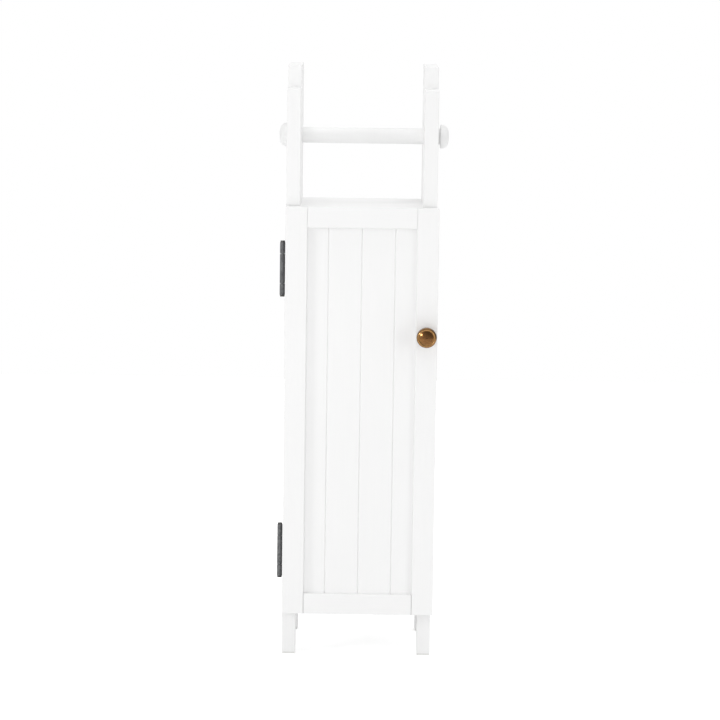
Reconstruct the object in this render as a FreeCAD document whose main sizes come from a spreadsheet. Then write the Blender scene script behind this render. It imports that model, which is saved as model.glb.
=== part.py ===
import FreeCAD, Part
import math
import os
import re

import Sketcher
from FreeCAD import Placement, Rotation, Vector

# A slim free-standing bathroom cabinet for spare rolls, with a turned bar for the roll in use.
# Millimetres, +Z up, the front faces -Y. The origin is on the floor, below the middle of the outline box.

SIZES = {
    # Carcass boards
    "cabinet_height": 780,
    "carcass_width": 197.5,
    "carcass_depth": 162,
    "side_thickness": 18,
    "panel_thickness": 15,
    "roll_bay_height": 183,
    "bottom_panel_height": 60,
    "edge_rounding": 0.8,
    "foot_depth": 22,
    "foot_arch_drop": 12,
    "foot_arch_radius": 22,
    "ear_setback": 40,
    "ear_rise": 29.5,
    "ear_top_radius": 1.5,
    "ear_notch_radius": 1.5,
    "shoulder_radius": 1.5,
    # Back panel in its grooves
    "back_panel_thickness": 3,
    "back_panel_inset": 12,
    "back_groove_depth": 6,
    "back_groove_clearance": 0.2,
    # Flat-pack fittings
    "fitting_setback": 32,
    "fitting_clearance": 0.1,
    "cam_radius": 7.4,
    "cam_height": 12,
    "cam_distance": 24,
    "cam_slot_width": 1.8,
    "cam_slot_length": 9,
    "cam_slot_depth": 2,
    "bolt_thread_radius": 2.5,
    "bolt_thread_length": 10,
    "bolt_neck_radius": 2.2,
    "bolt_head_radius": 3.2,
    "bolt_head_length": 4,
    "dowel_radius": 4,
    "dowel_length": 30,
    "dowel_side_depth": 10,
    # Foot pads
    "glide_thickness": 2.5,
    "glide_margin": 0.5,
    "glide_corner": 1.5,
    "glide_nail_radius": 1,
    "glide_nail_length": 12,
    # Inner shelf on its pins
    "inner_shelf_rise": 255,
    "inner_shelf_thickness": 12,
    "inner_shelf_setback": 6,
    "inner_shelf_clearance": 0.5,
    "shelf_pin_radius": 2.5,
    "shelf_pin_depth": 8,
    "shelf_pin_reach": 9,
    "shelf_pin_width": 7,
    "shelf_pin_thickness": 3,
    "shelf_pin_setback": 30,
    "shelf_hole_pitch": 50,
    # Door
    "door_overhang": 2.5,
    "door_top_rise": 1.5,
    "door_bottom_lap": 1.5,
    "door_thickness": 16,
    "stile_width": 28.5,
    "rail_height": 27,
    "frame_bevel": 0.8,
    "door_panel_thickness": 5,
    "door_panel_recess": 7.5,
    "door_groove_depth": 7,
    "door_groove_clearance": 0.15,
    "v_groove_margin": 27.9,
    "v_groove_width": 2,
    "v_groove_depth": 1.2,
    # Butt hinges
    "hinge_height": 69,
    "hinge_barrel_radius": 3.5,
    "hinge_side_gap": 0.3,
    "hinge_leaf_thickness": 1.1,
    "hinge_leaf_gap": 0.2,
    "hinge_leaf_width": 14,
    "hinge_end_knuckle": 14.5,
    "hinge_knuckle_gap": 0.8,
    "hinge_pin_radius": 1.6,
    "hinge_pin_clearance": 0.05,
    "hinge_tip_radius": 3,
    "hinge_tip_height": 2.2,
    "upper_hinge_drop": 82.5,
    "lower_hinge_rise": 82.5,
    "hinge_screw_inset": 8,
    "hinge_screw_pitch": 26,
    # Wood screws with a countersunk head
    "screw_radius": 1.5,
    "screw_head_radius": 2.6,
    "screw_grip": 9,
    "screw_tip_length": 3,
    "screw_clearance": 0.1,
    # Knob
    "knob_radius": 13.2,
    "knob_reach": 24,
    "knob_inset": 14.5,
    "knob_drop": 166.5,
    "knob_base_radius": 7.5,
    "knob_base_thickness": 1.6,
    "knob_neck_radius": 5.5,
    "knob_head_thickness": 8.5,
    "knob_flare_height": 4,
    "knob_flare_radius": 7,
    "knob_rim_radius": 1.2,
    "knob_ring_radius": 10.9,
    "knob_dish_radius": 9.2,
    "knob_dish_depth": 1.1,
    "knob_dome_rise": 0.9,
    "knob_screw_radius": 2,
    "knob_screw_grip": 9,
    "knob_screw_head_radius": 3.8,
    "knob_screw_head_height": 2.6,
    "knob_screw_recess": 3.4,
    # Magnetic catch
    "catch_length": 46,
    "catch_depth": 14,
    "catch_height": 13,
    "catch_setback": 1,
    "catch_side_distance": 34,
    "catch_pocket_length": 30,
    "catch_pocket_height": 8.4,
    "catch_pocket_depth": 10,
    "catch_jaw_thickness": 1.6,
    "catch_clearance": 0.1,
    "catch_pull_gap": 0.2,
    "catch_screw_spacing": 38,
    "catch_sink_depth": 1.2,
    "strike_length": 36,
    "strike_drop": 7,
    "strike_thickness": 1.2,
    "strike_screw_spacing": 22,
    "strike_screw_margin": 3.5,
    "strike_screw_edge": 3,
    # Roll bar
    "bar_rise": 89.5,
    "bar_radius": 10.5,
    "bar_clearance": 0.3,
    "bar_end_play": 4.4,
    "bar_cap_gap": 0.2,
    "bar_cap_radius": 15.9,
    "bar_cap_length": 11.6,
    "bar_cap_rim": 2,
    "bar_cap_crown_radius": 45,
    "bar_cap_rounding": 1.2,
    "spigot_radius": 5,
    "spigot_length": 7,
    "spigot_clearance": 0.1,
}

# Places that follow from the sizes. Names that end in _x and _y are in the part's own frame.
PLACES = {
    "door_gap": "2 * hinge_leaf_thickness + hinge_leaf_gap",
    "carcass_middle_x": "bar_cap_gap - bar_end_play / 2",
    "carcass_front_y": "(door_gap + door_thickness + knob_reach - carcass_depth) / 2",
    "left_face_x": "carcass_middle_x - carcass_width / 2",
    "right_face_x": "carcass_middle_x + carcass_width / 2",
    "left_inner_x": "left_face_x + side_thickness",
    "right_inner_x": "right_face_x - side_thickness",
    "inner_width": "carcass_width - 2 * side_thickness",
    "shoulder_height": "cabinet_height - ear_rise",
    "top_panel_height": "cabinet_height - roll_bay_height",
    "top_panel_underside": "top_panel_height - panel_thickness",
    "bottom_panel_top": "bottom_panel_height + panel_thickness",
    "foot_arch_height": "bottom_panel_height - foot_arch_drop",
    "back_panel_setback": "carcass_depth - back_panel_inset - back_panel_thickness",
    "back_groove_setback": "back_panel_setback - back_groove_clearance",
    "back_groove_width": "back_panel_thickness + 2 * back_groove_clearance",
    "back_panel_tongue": "back_groove_depth - back_groove_clearance",
    "glide_width": "side_thickness - 2 * glide_margin",
    "glide_length": "foot_depth - 2 * glide_margin",
    "inner_shelf_depth": "back_panel_setback - inner_shelf_setback - inner_shelf_clearance",
    "rear_pin_setback": "back_panel_setback - shelf_pin_setback",
    "inner_shelf_height": "bottom_panel_top + inner_shelf_rise",
    "pin_height": "inner_shelf_height - shelf_pin_radius",
    "door_back_y": "carcass_front_y - door_gap",
    "door_front_y": "door_back_y - door_thickness",
    "door_width": "carcass_width + door_overhang",
    "door_bottom": "bottom_panel_height - door_bottom_lap",
    "door_top": "top_panel_height + door_top_rise",
    "door_height": "door_top - door_bottom",
    "rail_length": "door_width - 2 * stile_width",
    "door_groove_front": "door_panel_recess - door_groove_clearance",
    "door_groove_back": "door_panel_recess + door_panel_thickness + door_groove_clearance",
    "door_tongue": "door_groove_depth - door_groove_clearance",
    "door_panel_width": "rail_length + 2 * door_tongue",
    "v_groove_spacing": "rail_length / 2 - v_groove_margin",
    "door_panel_height": "door_height - 2 * rail_height + 2 * door_tongue",
    "hinge_axis_x": "left_face_x - hinge_side_gap - hinge_barrel_radius",
    "hinge_axis_y": "carcass_front_y - door_gap / 2",
    "hinge_reach": "hinge_barrel_radius + hinge_side_gap",
    "upper_hinge_middle": "door_top - upper_hinge_drop",
    "lower_hinge_middle": "door_bottom + lower_hinge_rise",
    "knob_height": "door_top - knob_drop",
    "knob_x": "left_face_x + door_width - knob_inset",
    "knob_dome_radius": "(knob_dish_radius * knob_dish_radius / knob_dome_rise + knob_dome_rise) / 2",
    "knob_bead_width": "knob_ring_radius - knob_dish_radius",
    "knob_bead_radius": "(knob_bead_width * knob_bead_width / knob_dish_depth + knob_dish_depth) / 2",
    "knob_crown_radius": "knob_radius - knob_ring_radius",
    "catch_x": "right_inner_x - catch_side_distance",
    "catch_middle": "top_panel_underside - catch_height / 2",
    "catch_jaw_y": "door_back_y + strike_thickness + catch_pull_gap",
    "strike_bottom": "catch_middle - strike_drop",
    "strike_screw_height": "door_top - rail_height + door_groove_depth + strike_screw_margin",
    "strike_height": "strike_screw_height + strike_screw_edge - strike_bottom",
    "bar_height": "top_panel_height + bar_rise",
    "bar_setback": "carcass_depth / 2",
    "bar_axis_y": "carcass_front_y + bar_setback",
    "bar_left_x": "left_face_x - bar_cap_gap",
    "bar_length": "carcass_width + bar_end_play",
    "cap_crown_rise": "bar_cap_length - bar_cap_rim",
    "cap_crown_middle": "bar_cap_length - bar_cap_crown_radius",
    "cap_crown_span": "2 * bar_cap_crown_radius * cap_crown_rise - cap_crown_rise ^ 2 - bar_cap_radius ^ 2",
    "cap_corner_radius": "cap_crown_span / (2 * (bar_cap_crown_radius - bar_cap_radius))",
    "cap_corner_share": "bar_cap_crown_radius / (bar_cap_crown_radius - cap_corner_radius)",
    "cap_crown_end": "cap_crown_middle + (bar_cap_rim - cap_crown_middle) * cap_corner_share",
}

ALONG = {
    "+X": Rotation(Vector(0, 1, 0), 90),
    "-X": Rotation(Vector(0, 1, 0), -90),
    "+Y": Rotation(Vector(1, 0, 0), -90),
    "-Y": Rotation(Vector(1, 0, 0), 90),
    "+Z": Rotation(),
}

doc = FreeCAD.newDocument("roll_cabinet")
sheet = doc.addObject("Spreadsheet::Sheet", "Sizes")
for row, (name, size) in enumerate(SIZES.items(), start=1):
    sheet.set(f"A{row}", name)
    sheet.set(f"B{row}", str(size))
    sheet.setAlias(f"B{row}", name)
doc.recompute()

nodes = []


def formula(text):
    """An expression on the sheet, with each place written out in sizes."""
    def written_out(match):
        word = match.group(0)
        if word in PLACES:
            return f"({formula(PLACES[word])})"
        return f"Sizes.{word}"
    return re.sub(r"[a-z_]+", written_out, text)


def number(text):
    return float(sheet.evalExpression(formula(text)))


def bind(thing, **properties):
    for name, text in properties.items():
        thing.setExpression(name, formula(text))


def place(thing, x="0", y="0", z="0"):
    for axis, text in zip("xyz", (x, y, z)):
        thing.setExpression(f"Placement.Base.{axis}", formula(text))
    return thing


def node(thing, name):
    thing.Label = name
    nodes.append(thing)


def block(x, y, z, length, width, height):
    thing = doc.addObject("Part::Box", "Block")
    bind(thing, Length=length, Width=width, Height=height)
    return place(thing, x, y, z)


def rod(x, y, z, direction, radius, length):
    thing = doc.addObject("Part::Cylinder", "Rod")
    thing.Placement = Placement(Vector(), ALONG[direction])
    bind(thing, Radius=radius, Height=length)
    return place(thing, x, y, z)


def cone(x, y, z, direction, start_radius, end_radius, length):
    thing = doc.addObject("Part::Cone", "Taper")
    thing.Placement = Placement(Vector(), ALONG[direction])
    bind(thing, Radius1=start_radius, Radius2=end_radius, Height=length)
    return place(thing, x, y, z)


def join(pieces):
    thing = doc.addObject("Part::MultiFuse", "Joined")
    thing.Shapes = pieces
    return thing


def cut(solid, tools):
    thing = doc.addObject("Part::Cut", "Cut")
    thing.Base = solid
    thing.Tool = join(tools) if len(tools) > 1 else tools[0]
    return thing


def group(pieces):
    thing = doc.addObject("Part::Compound", "Group")
    thing.Links = pieces
    return thing


def new_body(name):
    return doc.addObject("PartDesign::Body", name)


def sketch_on(body, role):
    sketch = body.newObject("Sketcher::SketchObject", "Outline")
    plane = next(item for item in body.Origin.OriginFeatures if item.Role == role)
    sketch.AttachmentSupport = [(plane, "")]
    sketch.MapMode = "FlatFace"
    return sketch


def draw(sketch, corners):
    """Closes an outline, drawn anticlockwise, through corners given as (x, y) formulas.

    A third item is the radius of the arc that leads to the next corner: a plain one for an arc that
    bulges outwards, one with a minus sign for a hollow one.
    """
    points = [Vector(number(corner[0]), number(corner[1]), 0) for corner in corners]
    starts, ends, constraints, drivers = [], [], [], []
    for index, corner in enumerate(corners):
        first, second = points[index], points[(index + 1) % len(points)]
        hollow = len(corner) == 3 and corner[2].startswith("-")
        if len(corner) == 2:
            sketch.addGeometry(Part.LineSegment(first, second), False)
        else:
            sketch.addGeometry(arc_between(first, second, number(corner[2].lstrip("-")), hollow), False)
        starts.append(2 if hollow else 1)
        ends.append(1 if hollow else 2)
    for index, corner in enumerate(corners):
        following = (index + 1) % len(corners)
        constraints.append(Sketcher.Constraint("Coincident", index, ends[index],
                                               following, starts[following]))
        for kind, axis, text, value in (("DistanceX", -2, corner[0], points[index].x),
                                        ("DistanceY", -1, corner[1], points[index].y)):
            if text == "0":
                constraints.append(Sketcher.Constraint("PointOnObject", index, starts[index], axis))
            else:
                drivers.append((len(constraints), text))
                constraints.append(Sketcher.Constraint(kind, -1, 1, index, starts[index], value))
        if len(corner) == 3:
            radius = corner[2].lstrip("-")
            drivers.append((len(constraints), radius))
            constraints.append(Sketcher.Constraint("Radius", index, number(radius)))
    sketch.addConstraint(constraints)
    for position, text in drivers:
        sketch.setExpression(f"Constraints[{position}]", formula(text))
    return sketch


def arc_between(first, second, radius, hollow):
    chord = second - first
    rise = math.sqrt(max(radius ** 2 - (chord.Length / 2) ** 2, 0))
    across = Vector(-chord.y, chord.x, 0).normalize() * (-rise if hollow else rise)
    centre = first + chord * 0.5 + across
    begin, end = (second, first) if hollow else (first, second)
    angles = [math.atan2(point.y - centre.y, point.x - centre.x) for point in (begin, end)]
    if angles[1] < angles[0]:
        angles[1] += 2 * math.pi
    return Part.ArcOfCircle(Part.Circle(centre, Vector(0, 0, 1), radius), *angles)


def pad(body, sketch, length, both_ways=False):
    feature = body.newObject("PartDesign::Pad", "Pad")
    feature.Profile = sketch
    feature.SideType = "Symmetric" if both_ways else "One side"
    bind(feature, Length=length)
    return feature


def spin(body, sketch, axis):
    feature = body.newObject("PartDesign::Revolution", "Turned")
    feature.Profile = sketch
    feature.ReferenceAxis = (sketch, [axis])
    feature.Angle = 360
    return feature


def round_edges(body, feature, wanted, radius):
    """Rounds the edges of a feature for which wanted(edge) holds."""
    doc.recompute()
    names = [f"Edge{index}" for index, edge in enumerate(feature.Shape.Edges, start=1) if wanted(edge)]
    fillet = body.newObject("PartDesign::Fillet", "Rounded")
    fillet.Base = (feature, names)
    bind(fillet, Radius=radius)


def screw(x, y, z, direction, head_height, through):
    """A countersunk wood screw through a plate or case, with its head face at the given place."""
    head = cone("0", "0", "0", "+Z", "screw_head_radius", "screw_radius", head_height)
    shank = rod("0", "0", head_height, "+Z", "screw_radius", f"{through} - {head_height} + screw_grip")
    tip = cone("0", "0", f"{through} + screw_grip", "+Z", "screw_radius", "screw_radius / 5",
               "screw_tip_length")
    whole = join([head, shank, tip])
    whole.Placement = Placement(Vector(), ALONG[direction])
    return place(whole, x, y, z)


def screw_hole(x, y, z, direction):
    """The hole in the wood, from its face."""
    return rod(x, y, z, direction, "screw_radius + screw_clearance",
               "screw_grip + screw_tip_length + screw_clearance")


def countersink(x, y, z, direction, head_height):
    """The seat of a screw's head."""
    return cone(x, y, z, direction, "screw_head_radius + screw_clearance", "screw_radius + screw_clearance",
                head_height)


HINGE_MIDDLES = {"upper": "upper_hinge_middle", "lower": "lower_hinge_middle"}
HINGE_SCREWS = [f"{middle} + {step} * hinge_screw_pitch"
                for middle in HINGE_MIDDLES.values() for step in (-1, 0, 1)]
FITTING_SETBACKS = ["fitting_setback", "carcass_depth - fitting_setback"]
FOOT_SETBACKS = ["foot_depth / 2", "carcass_depth - foot_depth / 2"]
PIN_SETBACKS = ["shelf_pin_setback", "rear_pin_setback"]
PANEL_UNDERSIDES = ["top_panel_underside", "bottom_panel_height"]


def side_panel(name, face_x, inner_face, inwards):
    """A board that is foot, cabinet wall and ear in one. Its own x runs from its left face."""
    body = new_body(name + "_board")
    outline = draw(sketch_on(body, "YZ_Plane"), [
        ("0", "glide_thickness"),
        ("foot_depth", "glide_thickness"),
        ("foot_depth", "foot_arch_height - foot_arch_radius", "-foot_arch_radius"),
        ("foot_depth + foot_arch_radius", "foot_arch_height"),
        ("carcass_depth - foot_depth - foot_arch_radius", "foot_arch_height", "-foot_arch_radius"),
        ("carcass_depth - foot_depth", "foot_arch_height - foot_arch_radius"),
        ("carcass_depth - foot_depth", "glide_thickness"),
        ("carcass_depth", "glide_thickness"),
        ("carcass_depth", "cabinet_height"),
        ("ear_setback + ear_top_radius", "cabinet_height", "ear_top_radius"),
        ("ear_setback", "cabinet_height - ear_top_radius"),
        ("ear_setback", "shoulder_height + ear_notch_radius", "-ear_notch_radius"),
        ("ear_setback - ear_notch_radius", "shoulder_height"),
        ("shoulder_radius", "shoulder_height", "shoulder_radius"),
        ("0", "shoulder_height - shoulder_radius"),
    ])
    board = pad(body, outline, "side_thickness")
    thickness = number("side_thickness")

    def along_a_face(edge):
        return any(all(abs(vertex.X - x) < 0.01 for vertex in edge.Vertexes) for x in (0, thickness))

    round_edges(body, board, along_a_face, "edge_rounding")

    tools = [rod("0", "bar_setback", "bar_height", "+X", "bar_radius + bar_clearance", "side_thickness")]
    for underside in PANEL_UNDERSIDES:
        middle = f"{underside} + panel_thickness / 2"
        for setback in FITTING_SETBACKS:
            tools.append(rod(inner_face, setback, middle, inwards, "bolt_thread_radius + fitting_clearance",
                             "bolt_thread_length + fitting_clearance"))
        tools.append(rod(inner_face, "carcass_depth / 2", middle, inwards,
                         "dowel_radius + fitting_clearance", "dowel_side_depth + fitting_clearance"))
    for setback in PIN_SETBACKS:
        for step in (-1, 0, 1):
            tools.append(rod(inner_face, setback, f"pin_height + {step} * shelf_hole_pitch", inwards,
                             "shelf_pin_radius + fitting_clearance", "shelf_pin_depth + fitting_clearance"))
    for setback in FOOT_SETBACKS:
        tools.append(rod("side_thickness / 2", setback, "glide_thickness", "+Z",
                         "glide_nail_radius + fitting_clearance", "glide_nail_length + fitting_clearance"))
    groove_x = "side_thickness - back_groove_depth" if inwards == "-X" else "0"
    tools.append(block(groove_x, "back_groove_setback", "bottom_panel_top - back_groove_depth",
                       "back_groove_depth", "back_groove_width",
                       "top_panel_underside - bottom_panel_top + 2 * back_groove_depth"))
    if inwards == "-X":
        tools += [screw_hole("hinge_screw_inset", "0", height, "+Y") for height in HINGE_SCREWS]
    node(place(cut(body, tools), face_x, "carcass_front_y", "0"), name)


side_panel("left_side_panel", "left_face_x", "side_thickness", "-X")
side_panel("right_side_panel", "right_inner_x", "0", "+X")


def level_panel(name, underside, groove_z, extra_tools):
    """A board between the sides. Its own origin is its lower left front corner."""
    board = block("0", "0", "0", "inner_width", "carcass_depth", "panel_thickness")
    tools = [block("0", "back_groove_setback", groove_z, "inner_width", "back_groove_width",
                   "back_groove_depth")]
    for end, inwards, cam_x in (("0", "+X", "cam_distance"),
                                ("inner_width", "-X", "inner_width - cam_distance")):
        for setback in FITTING_SETBACKS:
            tools.append(rod(cam_x, setback, "0", "+Z", "cam_radius + fitting_clearance",
                             "cam_height + fitting_clearance"))
            tools.append(rod(end, setback, "panel_thickness / 2", inwards,
                             "bolt_head_radius + fitting_clearance", "cam_distance"))
        tools.append(rod(end, "carcass_depth / 2", "panel_thickness / 2", inwards,
                         "dowel_radius + fitting_clearance",
                         "dowel_length - dowel_side_depth + fitting_clearance"))
    node(place(cut(board, tools + extra_tools), "left_inner_x", "carcass_front_y", underside), name)


CATCH_SCREWS = [f"catch_x + {side} * catch_screw_spacing / 2" for side in (-1, 1)]
CATCH_SCREW_Y = "carcass_front_y + catch_setback + catch_depth / 2"
CATCH_SCREW_Z = "top_panel_underside - catch_height"
catch_holes = [screw_hole(f"{x} - left_inner_x", f"{CATCH_SCREW_Y} - carcass_front_y", "0", "+Z")
               for x in CATCH_SCREWS]
level_panel("top_panel", "top_panel_underside", "0", catch_holes)
level_panel("bottom_panel", "bottom_panel_height", "panel_thickness - back_groove_depth", [])

back_panel = block("left_inner_x - back_panel_tongue", "carcass_front_y + back_panel_setback",
                   "bottom_panel_top - back_groove_depth",
                   "inner_width + 2 * back_panel_tongue", "back_panel_thickness",
                   "top_panel_underside - bottom_panel_top + back_groove_depth + back_panel_tongue")
node(back_panel, "back_panel")


# Flat-pack fittings: a bolt in the side, drawn in by a cam in the board, beside a glued dowel.
cam_bolts, cam_discs, wood_dowels = [], [], []
for underside in PANEL_UNDERSIDES:
    middle = f"{underside} + panel_thickness / 2"
    for face, outwards, inwards, sign in (("left_inner_x", "-X", "+X", "+"),
                                          ("right_inner_x", "+X", "-X", "-")):
        for setback in FITTING_SETBACKS:
            y = f"carcass_front_y + {setback}"
            cam_x = f"{face} {sign} cam_distance"
            thread = rod(face, y, middle, outwards, "bolt_thread_radius", "bolt_thread_length")
            neck = rod(face, y, middle, inwards, "bolt_neck_radius", "cam_distance")
            head = rod(f"{cam_x} - bolt_head_length / 2", y, middle, "+X", "bolt_head_radius",
                       "bolt_head_length")
            cam_bolts.append(join([thread, neck, head]))
            disc = rod(cam_x, y, underside, "+Z", "cam_radius", "cam_height")
            mouth = rod(f"{cam_x} {sign} bolt_head_length", y, middle, outwards,
                        "bolt_head_radius + fitting_clearance", "cam_distance")
            slots = [block(f"{cam_x} - {along} / 2", f"{y} - {across} / 2", underside,
                           along, across, "cam_slot_depth")
                     for along, across in (("cam_slot_length", "cam_slot_width"),
                                           ("cam_slot_width", "cam_slot_length"))]
            cam_discs.append(cut(disc, [mouth] + slots))
        start = f"{face} {'-' if sign == '+' else '+'} dowel_side_depth"
        wood_dowels.append(rod(start, "carcass_front_y + carcass_depth / 2", middle, inwards,
                               "dowel_radius", "dowel_length"))
node(group(cam_bolts), "cam_bolts")
node(group(cam_discs), "cam_discs")
node(group(wood_dowels), "wood_dowels")

# Nail-on pads that cover the end of each foot
def foot_pad(x, y):
    """A flat pad with round corners and a nail. Its own origin is its left front corner on the floor."""
    body = new_body("glide_pad")
    pad(body, draw(sketch_on(body, "XY_Plane"), [
        ("glide_corner", "0"),
        ("glide_width - glide_corner", "0", "glide_corner"),
        ("glide_width", "glide_corner"),
        ("glide_width", "glide_length - glide_corner", "glide_corner"),
        ("glide_width - glide_corner", "glide_length"),
        ("glide_corner", "glide_length", "glide_corner"),
        ("0", "glide_length - glide_corner"),
        ("0", "glide_corner", "glide_corner"),
    ]), "glide_thickness")
    nail = rod("glide_width / 2", "glide_length / 2", "glide_thickness", "+Z", "glide_nail_radius",
               "glide_nail_length")
    return place(join([body, nail]), x, y, "0")


foot_glides = [foot_pad(f"{face} + glide_margin", f"carcass_front_y + {setback} - glide_length / 2")
               for face in ("left_face_x", "right_inner_x") for setback in FOOT_SETBACKS]
node(group(foot_glides), "foot_glides")


# Shelf pins: a round shank in the side and a flat tongue under the shelf
shelf_pins = []
for face, outwards, tongue_x in (("left_inner_x", "-X", "left_inner_x"),
                                 ("right_inner_x", "+X", "right_inner_x - shelf_pin_reach")):
    for setback in PIN_SETBACKS:
        y = f"carcass_front_y + {setback}"
        shelf_pins.append(join([
            rod(face, y, "pin_height", outwards, "shelf_pin_radius", "shelf_pin_depth"),
            block(tongue_x, f"{y} - shelf_pin_width / 2", "inner_shelf_height - shelf_pin_thickness",
                  "shelf_pin_reach", "shelf_pin_width", "shelf_pin_thickness"),
        ]))
node(group(shelf_pins), "shelf_pins")

inner_shelf = new_body("inner_shelf_board")
pad(inner_shelf, draw(sketch_on(inner_shelf, "YZ_Plane"), [
    ("edge_rounding", "0"),
    ("inner_shelf_depth", "0"),
    ("inner_shelf_depth", "inner_shelf_thickness"),
    ("edge_rounding", "inner_shelf_thickness", "edge_rounding"),
    ("0", "inner_shelf_thickness - edge_rounding"),
    ("0", "edge_rounding", "edge_rounding"),
]), "inner_width - 2 * inner_shelf_clearance")
node(place(inner_shelf, "left_inner_x + inner_shelf_clearance", "carcass_front_y + inner_shelf_setback",
           "inner_shelf_height"), "inner_shelf")


# Door frame. The stiles and rails are cut in the door's own frame, from its lower left front corner.
def stile_board(name):
    """A stile with its groove on the right. Its front is rounded outside and bevelled at the panel."""
    body = new_body(name + "_board")
    board = pad(body, draw(sketch_on(body, "XY_Plane"), [
        ("edge_rounding", "0"),
        ("stile_width - frame_bevel", "0"),
        ("stile_width", "frame_bevel"),
        ("stile_width", "door_groove_front"),
        ("stile_width - door_groove_depth", "door_groove_front"),
        ("stile_width - door_groove_depth", "door_groove_back"),
        ("stile_width", "door_groove_back"),
        ("stile_width", "door_thickness"),
        ("0", "door_thickness"),
        ("0", "edge_rounding", "edge_rounding"),
    ]), "door_height")

    def across_an_end(edge):
        return edge.BoundBox.ZLength < 0.01 and all(abs(vertex.Y) < 0.01 for vertex in edge.Vertexes)

    round_edges(body, board, across_an_end, "edge_rounding")
    return body


def rail(name, turned):
    """A rail with the panel's groove along it and a tongue at each end; turned over for the bottom rail."""
    body = new_body(name + "_board")
    pad(body, draw(sketch_on(body, "YZ_Plane"), [
        ("frame_bevel", "0"),
        ("door_groove_front", "0"),
        ("door_groove_front", "door_groove_depth"),
        ("door_groove_back", "door_groove_depth"),
        ("door_groove_back", "0"),
        ("door_thickness", "0"),
        ("door_thickness", "rail_height"),
        ("edge_rounding", "rail_height", "edge_rounding"),
        ("0", "rail_height - edge_rounding"),
        ("0", "frame_bevel"),
    ]), "rail_length", both_ways=True)
    pad(body, draw(sketch_on(body, "YZ_Plane"), [
        ("door_groove_front + door_groove_clearance", "door_groove_depth"),
        ("door_groove_back - door_groove_clearance", "door_groove_depth"),
        ("door_groove_back - door_groove_clearance", "rail_height"),
        ("door_groove_front + door_groove_clearance", "rail_height"),
    ]), "rail_length + 2 * door_tongue", both_ways=True)
    body.Placement = Placement(Vector(), Rotation(Vector(0, 1, 0), 180 if turned else 0))
    return place(body, "door_width / 2", "0", "rail_height" if turned else "door_height - rail_height")


def on_door(thing, name):
    node(place(thing, "left_face_x", "door_front_y", "door_bottom"), name)


hinge_stile_holes = [screw_hole("hinge_screw_inset", "door_thickness", f"{height} - door_bottom", "-Y")
                     for height in HINGE_SCREWS]
on_door(cut(stile_board("door_hinge_stile"), hinge_stile_holes), "door_hinge_stile")

lock_stile = stile_board("door_lock_stile")
lock_stile.Placement = Placement(Vector(), Rotation(Vector(0, 1, 0), 180))
place(lock_stile, "door_width", "0", "door_height")
knob_bore = rod("door_width - knob_inset", "0", "knob_height - door_bottom", "+Y",
                "knob_screw_radius + screw_clearance", "door_thickness")
knob_recess = rod("door_width - knob_inset", "door_thickness", "knob_height - door_bottom", "-Y",
                  "knob_screw_head_radius + screw_clearance", "knob_screw_recess")
on_door(cut(lock_stile, [knob_bore, knob_recess]), "door_lock_stile")

STRIKE_SCREWS = [f"catch_x + {side} * strike_screw_spacing / 2" for side in (-1, 1)]
strike_holes = [screw_hole(f"{x} - left_face_x", "door_thickness", "strike_screw_height - door_bottom", "-Y")
                for x in STRIKE_SCREWS]
on_door(cut(rail("door_top_rail", False), strike_holes), "door_top_rail")
on_door(group([rail("door_bottom_rail", True)]), "door_bottom_rail")

# The panel stands in the grooves of the frame and has V-grooves down its front.
door_panel = new_body("door_panel_board")
panel_outline = [("0", "0")]
for step in (-1, 0, 1):
    middle = f"door_panel_width / 2 + {step} * v_groove_spacing"
    panel_outline += [(f"{middle} - v_groove_width / 2", "0"), (middle, "v_groove_depth"),
                      (f"{middle} + v_groove_width / 2", "0")]
panel_outline += [("door_panel_width", "0"), ("door_panel_width", "door_panel_thickness"),
                  ("0", "door_panel_thickness")]
pad(door_panel, draw(sketch_on(door_panel, "XY_Plane"), panel_outline), "door_panel_height")
node(place(door_panel, "left_face_x + stile_width - door_tongue", "door_front_y + door_panel_recess",
           "door_bottom + rail_height - door_tongue"), "door_panel")


# Butt hinges. A leaf's own frame has its origin at the foot of the barrel's axis.
def hinge_leaf(name, middle, knuckles, leaf_y, screw_y, direction):
    pieces = [block("hinge_reach", leaf_y, "0", "hinge_leaf_width", "hinge_leaf_thickness", "hinge_height")]
    for low, high in knuckles:
        pieces.append(rod("0", "0", low, "+Z", "hinge_barrel_radius", f"{high} - ({low})"))
        pieces.append(block("0", leaf_y, low, "hinge_reach", "hinge_leaf_thickness", f"{high} - ({low})"))
    bore = rod("0", "0", "0", "+Z", "hinge_pin_radius + hinge_pin_clearance", "hinge_height")
    sinks = [countersink("hinge_reach + hinge_screw_inset", screw_y,
                         f"hinge_height / 2 + {step} * hinge_screw_pitch", direction, "hinge_leaf_thickness")
             for step in (-1, 0, 1)]
    leaf = cut(join(pieces), [bore] + sinks)
    node(place(leaf, "hinge_axis_x", "hinge_axis_y", f"{middle} - hinge_height / 2"), name)


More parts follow.
